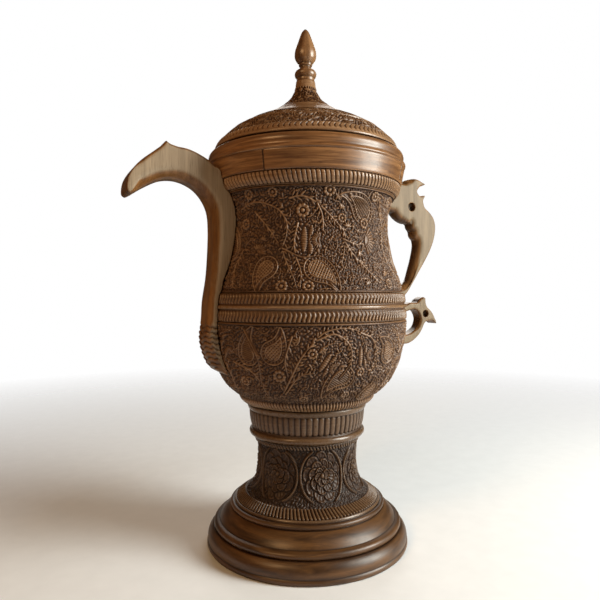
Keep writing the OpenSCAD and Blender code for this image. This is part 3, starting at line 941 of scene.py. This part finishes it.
def board(node, name, voxel, rounding, cut=None):
    """A sawn board with its edges rounded over. rounding(x, z, outward) gives the radius of the edge near a
    point, and cut(co, d) the depth of carving there, d being its distance in from the outline."""
    obj = voxel_copy(node, name, voxel)
    mesh = obj.data
    co = points_of(mesh) / MM
    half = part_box(node)[1].y / MM
    d, way = inside_distance(co[:, [0, 2]], face_outline(node))
    rim = co[:, [0, 2]] - d[:, None] * way
    beside_vessel = np.abs(rim[:, 0]) - vessel_radius(rim[:, 1]) < 2.0
    radius = np.where(beside_vessel, 1.0, rounding(co[:, 0], co[:, 2], -way))
    q1, q2 = radius - d, np.abs(co[:, 1]) - (half - radius)
    over = np.hypot(np.maximum(q1, 0), np.maximum(q2, 0))
    push = np.where((q1 > 0) & (q2 > 0), np.maximum(over - radius, 0) / np.maximum(over, 1e-6), 0)
    co[:, 0] += way[:, 0] * q1 * push
    co[:, 2] += way[:, 1] * q1 * push
    co[:, 1] -= np.sign(co[:, 1]) * q2 * push
    co = relaxed(mesh, co, 3)
    depth = np.zeros(len(co)) if cut is None else cut(co, d)
    co -= vertex_normals(mesh, co) * depth[:, None]
    normal = vertex_normals(mesh, relaxed(mesh, co, 6))
    place_vertices(mesh, co)
    # painted shade, darker the deeper the gouge cut
    shade = np.clip(depth / 1.6, 0, 1)
    eye = drilled_eye(node, half)
    if eye is not None:
        in_eye = np.hypot(co[:, 0] - eye[0], co[:, 2] - eye[1]) < eye[2] + 0.4
        # and painted shade inside the drilled eye
        shade = np.maximum(shade, 0.6 * in_eye * smoothstep((half - np.abs(co[:, 1]) - 0.5) / 2.5))
    # painted light: 0 on the flat faces, which the material paints pale as the window's sheen, rising to 1 on
    # the rounded edges, painted brown as warm lamp light
    set_attribute(obj, "edge", "FLOAT", smoothstep((0.992 - np.abs(normal[:, 1])) / 0.17))
    set_attribute(obj, "carved", "FLOAT", shade)
    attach(obj, "vessel")
    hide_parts(node)
    return obj


def place_vertices(mesh, co):
    """Moves the mesh's vertices to co, in mm."""
    mesh.vertices.foreach_set("co", (co * MM).ravel())
    mesh.update()


def vertex_normals(mesh, co):
    """Normals of the mesh with its vertices at co, in mm."""
    place_vertices(mesh, co)
    return points_of(mesh, "normal")


def near(x, z, cx, cz, reach):
    """1 near a place in the board's plane, falling to 0 at one and a half times the reach."""
    return smoothstep(1.5 - np.hypot(x - cx, z - cz) / reach)


def spout_rounding(x, z, outward):
    """Broad on the outer side and under the beak, tighter along the top, and sharp at the lip."""
    broad = smoothstep(0.6 - outward[:, 1]) * smoothstep((-x - 100) / 8)
    return (5.0 + 7.5 * broad) * (1 - 0.75 * smoothstep((-x - 196) / 12))


def spout_cut(co, d):
    """Wavy overlapping gouge cuts on the foot of the spout."""
    x, y, z = -co[:, 0], co[:, 1], co[:, 2]
    wave = (z + 1.5 * np.sin((d + 2) / 2.4) + 1.9 * np.cos(y / 3.4) - 205) / 5.8
    t = wave - np.floor(wave)
    depth = 1.7 * (1 - t) ** 1.6 * smoothstep(t / 0.12)
    reach = smoothstep((17 - d) / 3.5) * smoothstep((262 - z) / 5) * smoothstep((z - 203) / 4)
    return depth * reach * smoothstep((x - 112) / 6)


def upper_rounding(x, z, outward):
    """Broad on the side that faces the pot, so that the neck and the lobes read as scooped."""
    inner = smoothstep(0.5 - outward[:, 0]) * smoothstep((425 - z) / 12)
    nape = near(x, z, 147, 441, 9)
    tip = np.maximum(near(x, z, 176, 438.5, 4), near(x, z, 175.5, 424, 4))
    return (3.6 + 7.0 * np.maximum(inner, nape)) * (1 - 0.7 * tip)


def lower_rounding(x, z, outward):
    """Broad only inside the finger loop, and sharp at the beak."""
    inner = near(x, z, 164, 254, 9) * smoothstep(0.4 - outward[:, 0])
    ear, beak = near(x, z, 168, 287, 5), near(x, z, 194, 254, 4)
    return (3.0 + 2.6 * inner + 0.6 * ear) * (1 - 0.7 * beak)


# ------------------------ materials

FINE_BUMP = 0.0002   # how high, in metres, the pores and the tool marks stand


def rgba(color):
    return color if isinstance(color, bpy.types.NodeSocket) else (*color, 1)


class Shader:
    """A material under construction: each method adds nodes and returns the last one's output."""

    def __init__(self, name):
        self.material = bpy.data.materials.new(name)
        self.material.use_nodes = True
        self.tree = self.material.node_tree
        self.bsdf = self.tree.nodes["Principled BSDF"]

    def node(self, kind, inputs=(), output=0, **settings):
        n = self.tree.nodes.new(kind)
        for key, value in settings.items():
            setattr(n, key, value)
        for socket, value in dict(inputs).items():
            self.put(n.inputs[socket], value)
        return n.outputs[output]

    def put(self, socket, value):
        if isinstance(value, bpy.types.NodeSocket):
            self.tree.links.new(value, socket)
        else:
            socket.default_value = value

    def attribute(self, name, output="Fac"):
        return self.node("ShaderNodeAttribute", output=output, attribute_name=name)

    def place(self):
        return self.node("ShaderNodeTexCoord", output="Object")

    def noise(self, vector, scale, detail=3.0, rough=0.55, distortion=0.0, turn=(0, 0, 0)):
        """Noise in a space that is stretched by one scale, or by one along each axis."""
        scale = scale if isinstance(scale, tuple) else (scale, scale, scale)
        vector = self.node("ShaderNodeMapping", {"Vector": vector, "Rotation": turn, "Scale": scale})
        return self.node("ShaderNodeTexNoise", {"Vector": vector, "Scale": 1.0, "Detail": detail,
                                                "Roughness": rough, "Distortion": distortion})

    def ramp(self, fac, stops):
        n = self.tree.nodes.new("ShaderNodeValToRGB")
        self.tree.links.new(fac, n.inputs[0])
        elements = n.color_ramp.elements
        while len(elements) < len(stops):
            elements.new(0.5)
        for element, (at, color) in zip(elements, stops):
            element.position = at
            element.color = rgba(color)
        return n.outputs[0]

    def math(self, operation, a, b):
        return self.node("ShaderNodeMath", {0: a, 1: b}, operation=operation)

    def range(self, value, lo, hi, to_lo, to_hi):
        return self.node("ShaderNodeMapRange", {"Value": value, "From Min": lo, "From Max": hi,
                                                "To Min": to_lo, "To Max": to_hi})

    def mix(self, fac, a, b, blend="MIX"):
        return self.node("ShaderNodeMix", {0: fac, 6: rgba(a), 7: rgba(b)}, 2,
                         data_type="RGBA", blend_type=blend)

    def bump(self, height, strength):
        return self.node("ShaderNodeBump", {"Height": height, "Strength": strength, "Distance": FINE_BUMP})

    def finish(self, color, roughness, normal=None, coat=0.0, coat_roughness=0.2, specular=0.5):
        self.put(self.bsdf.inputs["Base Color"], color)
        self.put(self.bsdf.inputs["Roughness"], roughness)
        if normal is not None:
            self.put(self.bsdf.inputs["Normal"], normal)
        self.bsdf.inputs["Coat Weight"].default_value = coat
        self.bsdf.inputs["Coat Roughness"].default_value = coat_roughness
        self.bsdf.inputs["Specular IOR Level"].default_value = specular
        return self.material


RING_GRAIN = ((16, 16, 300), (80, 80, 1500))     # figure and pores of wood whose grain lies level
BASE_GRAIN = ((14, 14, 110), (80, 80, 1500))     # and of the broad base
SPINDLE_GRAIN = ((110, 110, 9), (1300, 1300, 60))   # and of wood whose grain stands upright
BOARD_GRAIN = ((120, 60, 8), (1300, 700, 45))    # and of the boards
SIDE_PORE = (0.03, 0.012, 0.004)                 # the pores' colour where the wood is polished


def grain_of(shader, vector, dark, light, pore, figure, pores, turn=(0, 0, 0)):
    """Walnut figure in broad streaks, with fine dark pores. Returns its colour and the pores' strength."""
    broad = shader.noise(vector, figure, 4.0, 0.6, 0.6, turn)
    fine = shader.noise(vector, pores, 2.0, 0.5, turn=turn)
    cloud = shader.noise(vector, 9, 2.0, 0.5, turn=turn)
    color = shader.mix(shader.range(broad, 0.32, 0.68, 0.0, 1.0), dark, light)
    color = shader.mix(shader.range(cloud, 0.35, 0.65, 0.0, 0.35), color, dark)
    pore_fac = shader.range(fine, 0.56, 0.72, 0.0, 1.0)
    return shader.mix(shader.math("MULTIPLY", pore_fac, 0.55), color, pore), pore_fac


def polished_walnut(name, dark, light, wood=RING_GRAIN, rough=(0.30, 0.44), coat=0.35):
    """Oiled and burnished walnut, with shade painted dark into the hollow corners and seams, and the rim's
    glue lines dark.
    """
    s = Shader(name)
    grain = s.attribute("grain", "Vector")
    color, pores = grain_of(s, grain, dark, light, SIDE_PORE, *wood)
    clear_of_stain_and_shade = s.attribute("wear_stain_and_shade")
    smear = s.noise(grain, 30)
    clear_of_stain_and_shade = s.math("ADD", clear_of_stain_and_shade, s.range(smear, 0.3, 0.7, -0.1, 0.1))
    # this dark colour is painted shade in hollow corners and seams, and the real dark glue lines of the rim
    color = s.mix(s.range(clear_of_stain_and_shade, 0.15, 0.85, 0.85, 0.0), color, (0.018, 0.007, 0.0025))
    rough = s.range(smear, 0.3, 0.7, *rough)
    return s.finish(color, rough, s.bump(pores, 0.12), coat=coat, coat_roughness=0.28, specular=0.4)


# From the sunk ground up to the high spots: a real dark stain in the ground, darkened further by painted
# shade, up to wood rubbed lighter on the high spots.
CARVED_STAIN_AND_SHADE = [(0.0, (0.034, 0.0132, 0.0045)), (0.28, (0.080, 0.0345, 0.0130)),
                (0.62, (0.145, 0.0735, 0.0315)), (0.95, (0.275, 0.1640, 0.0890))]


# A copy with a lower tone is darker, for the pieces that the light reaches less: painted shade.
def carved_walnut(name, shade_tone=1.0, shine=1.0):
    """Stained dark in the ground, with painted shade deepening the sunk ground, and rubbed lighter on the
    high spots.
    """
    s = Shader(name)
    grain = s.attribute("grain", "Vector")
    place = s.place()
    wobble = s.noise(place, 260)
    wear_stain_and_shade = s.math("ADD", s.attribute("wear_stain_and_shade"), s.range(wobble, 0.3, 0.7, -0.1, 0.1))
    # painted shade deepens the real stain of the sunk ground
    stain_and_shade_color = s.ramp(wear_stain_and_shade, [(at, tuple(c * shade_tone for c in color)) for at, color in CARVED_STAIN_AND_SHADE])
    figure, pores = grain_of(s, grain, (0.62, 0.56, 0.50), (1.15, 1.12, 1.08), (0.5, 0.42, 0.36), *RING_GRAIN)
    color = s.mix(1.0, stain_and_shade_color, figure, "MULTIPLY")
    rough = s.range(wear_stain_and_shade, 0.1, 1.05, 0.72, 0.25)
    normal = s.bump(s.math("ADD", s.noise(place, 900, 2.0), s.math("MULTIPLY", pores, 0.4)), 0.22)
    return s.finish(color, rough, normal, coat=0.15 * shine, coat_roughness=0.28, specular=0.35 * shine)


def board_walnut(name, dark, light, lean):
    """Pale on the flat faces and brown on the rounded edges, as painted light: a painted sheen of the window
    on the flat faces and painted warm lamp light on the edges. Painted shade in the gouge cuts. The grain
    leans by an angle."""
    s = Shader(name)
    place = s.place()
    turn = (0, math.radians(lean), 0)
    # flat: painted sheen of the window on the flat faces; side: painted warm lamp light on the rounded edges
    flat, pores = grain_of(s, place, dark, light, (0.10, 0.062, 0.035), *BOARD_GRAIN, turn)
    side, _ = grain_of(s, place, (0.095, 0.038, 0.010), (0.29, 0.135, 0.046), SIDE_PORE, *BOARD_GRAIN, turn)
    patch = s.noise(place, 55)
    edge = s.math("ADD", s.attribute("edge"), s.range(patch, 0.3, 0.7, -0.15, 0.15))
    color = s.mix(s.range(edge, 0.1, 0.95, 0.0, 1.0), flat, side)
    # painted shade in the gouge cuts and the drilled eye
    color = s.mix(s.range(s.attribute("carved"), 0.1, 0.9, 0.0, 0.92), color, (0.02, 0.008, 0.003))
    return s.finish(color, s.range(edge, 0.2, 0.9, 0.60, 0.28), s.bump(pores, 0.15), specular=0.38)


def raw_wood(name, dark, light, pore, rough, figure, pores):
    """Unpolished wood, for the kept CAD pieces."""
    s = Shader(name)
    color, pore_fac = grain_of(s, s.place(), dark, light, pore, figure, pores)
    return s.finish(color, rough, s.bump(pore_fac, 0.1))


def dress(obj, material):
    obj.data.materials.clear()
    obj.data.materials.append(material)


# ------------------------ stage, light and camera

FLOOR_REACH = 3.0        # metres


def floor():
    """A pale disc that fades into the backdrop away from the pot."""
    mesh = bpy.data.meshes.new("floor")
    turns = np.linspace(0, 2 * math.pi, 96, endpoint=False)
    ring = [(FLOOR_REACH * math.cos(a), FLOOR_REACH * math.sin(a), 0) for a in turns]
    mesh.from_pydata(ring, [], [list(range(len(ring)))])
    obj = add_object("floor", mesh)
    s = Shader("pale_floor")
    speck = s.noise(s.place(), 40, 2.0)
    s.finish(s.ramp(speck, [(0.3, (0.76, 0.79, 0.83)), (0.7, (0.79, 0.82, 0.86))]), 0.7)
    far = s.node("ShaderNodeVectorMath", {0: s.place()}, "Value", operation="LENGTH")
    clear = s.node("ShaderNodeBsdfTransparent")
    fade = s.range(far, 0.35, 1.6, 0.0, 1.0)
    mixed = s.node("ShaderNodeMixShader", {0: fade, 1: s.bsdf.outputs[0], 2: clear})
    s.tree.links.new(mixed, s.tree.nodes["Material Output"].inputs[0])
    dress(obj, s.material)


def soft_box(name, place, target, size, power, color):
    light = bpy.data.lights.new(name, "AREA")
    light.shape = "RECTANGLE"
    light.size, light.size_y = size
    light.energy = power
    light.color = color
    obj = add_object(name, light)
    obj.location = place
    obj.rotation_euler = (Vector(target) - Vector(place)).to_track_quat("-Z", "Y").to_euler()


def around_view(degrees, distance, height):
    """A place round the pot, at an angle to the right of the camera's own side."""
    a = math.radians(VIEW_DEG + degrees)
    return (distance * math.cos(a), distance * math.sin(a), height)


VIEW_DEG = 242           # side of the pot that the camera stands on
CAMERA_DISTANCE = 0.662
CAMERA_HEIGHT = 0.2922
CAMERA_LENS = 32.9
CAMERA_DOWN_DEG = 0.57
CAMERA_LEFT_DEG = 0.66
CAMERA_ROLL_DEG = -0.21


def camera():
    data = bpy.data.cameras.new("camera")
    data.lens = CAMERA_LENS
    data.sensor_width = 36
    data.clip_start = 0.02
    obj = add_object("camera", data)
    look = math.radians(VIEW_DEG + 180 + CAMERA_LEFT_DEG)
    down = math.radians(CAMERA_DOWN_DEG)
    ahead = Vector((math.cos(look) * math.cos(down), math.sin(look) * math.cos(down), -math.sin(down)))
    roll = Matrix.Rotation(math.radians(CAMERA_ROLL_DEG), 3, "Z")
    obj.rotation_mode = "QUATERNION"
    obj.rotation_quaternion = (ahead.to_track_quat("-Z", "Y").to_matrix() @ roll).to_quaternion()
    obj.location = around_view(0, CAMERA_DISTANCE, CAMERA_HEIGHT)
    bpy.context.scene.camera = obj


def lights():
    """A window, a lamp, a light from behind, a dim warm room, and white behind everything for the camera."""
    soft_box("window", around_view(74, 1.4, 0.72), (0, 0, 0.36), (0.6, 0.95), 44, (0.97, 0.97, 0.89))
    soft_box("lamp", around_view(-36, 1.5, 1.25), (0, 0, 0.4), (0.45, 0.45), 11.5, (1.0, 0.58, 0.26))
    soft_box("back", around_view(180, 1.9, 1.3), (0, 0, 0.3), (1.4, 1.0), 15, (1.0, 0.94, 0.86))
    world = bpy.data.worlds.new("studio")
    bpy.context.scene.world = world
    world.use_nodes = True
    tree = world.node_tree
    seen = tree.nodes.new("ShaderNodeLightPath")
    room = tree.nodes["Background"]
    white = tree.nodes.new("ShaderNodeBackground")
    for background, color, strength in ((room, (1.0, 0.72, 0.44, 1), 0.06), (white, (1, 1, 1, 1), 1.0)):
        background.inputs[0].default_value = color
        background.inputs[1].default_value = strength
    mix = tree.nodes.new("ShaderNodeMixShader")
    for output, socket in zip((seen.outputs["Is Camera Ray"], room.outputs[0], white.outputs[0]), mix.inputs):
        tree.links.new(output, socket)
    tree.links.new(mix.outputs[0], tree.nodes["World Output"].inputs[0])
    bpy.context.scene.view_settings.view_transform = "Standard"


# ------------------------ the pot

BOWL_FLOOR = 13      # thickness of the bowl's floor, in mm
DOME_HOLE = 16       # radius of the hole that the crown's foot closes, in mm


def vessel(carved, polished):
    # Darker copies of the carved walnut for the stem, the collar and the belt, which the light reaches less:
    # painted shade.
    shaded_copy_carved = carved_walnut("walnut_carved_shaded", shade_tone=0.45)
    # The base's walnut is darker than the rim's for the dimmer light low down: painted shade.
    shaded_base_polished = polished_walnut("walnut_base_shaded", (0.024, 0.0095, 0.0026), (0.138, 0.0620, 0.0190),
                                    BASE_GRAIN, rough=(0.34, 0.48), coat=0.12)
    for node in ("base_plinth", "base_cap"):
        dress(plain_piece(node), shaded_base_polished)
    dress(carved_piece("pedestal_stem", 1040, 0.42, 3.3, carve_stem, hollow=False), shaded_copy_carved)
    dress(carved_piece("stem_collar", 720, 0.5, 1.9, carve_collar, hollow=False), shaded_copy_carved)
    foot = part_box("lower_bowl")[0].z / MM
    floor_z = foot + BOWL_FLOOR
    bowl_back = inner_line("lower_bowl", lowest=floor_z + 0.3, count=14) + [(0.3, floor_z), (0.3, foot)]
    dress(carved_piece("lower_bowl", 1240, 0.6, 2.6, carve_lower_bowl, back=bowl_back), carved)
    dress(carved_piece("belt_ring", 1560, 0.5, 2.0, carve_belt), carved_walnut("walnut_belt_shaded", shade_tone=0.8))
    dress(carved_piece("upper_body", 1200, 0.6, 2.6, carve_upper_body), carved)
    dress(carved_piece("flute_segments", 1420, 0.5, 1.7, carve_flutes), carved)
    dress(rim_band(), polished)


def lid(carved, polished):
    spindle = polished_walnut("walnut_finial", (0.10, 0.045, 0.016), (0.30, 0.155, 0.066), SPINDLE_GRAIN)
    dress(plain_piece("lid_ring", hollow=True, body="lid", step=0.6, columns=360, corner_shade_strength=0.35,
                      fillet=0.9), polished)
    inside = [p for p in inner_line("lid_dome", count=12) if p[0] > DOME_HOLE + 4]
    top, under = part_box("lid_dome")[1].z / MM, max(p[1] for p in inside) + 0.5
    back = [(DOME_HOLE, top), (DOME_HOLE, under)] + inside
    dress(carved_piece("lid_dome", 1160, 0.55, 2.3, carve_dome, back=back, body="lid"), carved)
    dress(carved_piece("lid_crown", 420, 0.5, 1.2, carve_crown, hollow=False, body="lid"),
          carved_walnut("walnut_crown", shine=0.35))
    dress(plain_piece("finial", columns=160, step=0.5, body="lid", corner_shade_strength=0.55), spindle)


def boards():
    # these colours are the flat faces, made pale as a painted sheen of the window
    spout_wood = board_walnut("walnut_spout", (0.225, 0.165, 0.104), (0.345, 0.262, 0.172), 22)
    handle_wood = board_walnut("walnut_handle", (0.135, 0.092, 0.049), (0.225, 0.16, 0.093), -12)
    dress(board("spout", "spout_board", 1.0, spout_rounding, spout_cut), spout_wood)
    dress(board("upper_handle", "upper_handle_board", 0.8, upper_rounding), handle_wood)
    dress(board("lower_handle", "lower_handle_board", 0.6, lower_rounding), handle_wood)


def kept_nodes():
    """CAD nodes that are shown as they are: the dowels and the lid's spigot."""
    beech = raw_wood("beech_dowel", (0.42, 0.27, 0.14), (0.66, 0.47, 0.28), (0.3, 0.18, 0.09), 0.6,
                     (14, 110, 110), (90, 1200, 1200))
    inner = raw_wood("walnut_inner", (0.16, 0.075, 0.03), (0.32, 0.17, 0.08), (0.06, 0.03, 0.015), 0.55,
                     *RING_GRAIN)
    for node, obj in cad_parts.items():
        if "dowel" in node:
            dress(obj, beech)
    dress(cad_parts["lid_spigot"], inner)


floor()
camera()
lights()
carved_wood = carved_walnut("walnut_carved")
polished_wood = polished_walnut("walnut_polished", (0.080, 0.031, 0.009), (0.310, 0.150, 0.057))
vessel(carved_wood, polished_wood)
lid(carved_wood, polished_wood)
boards()
kept_nodes()
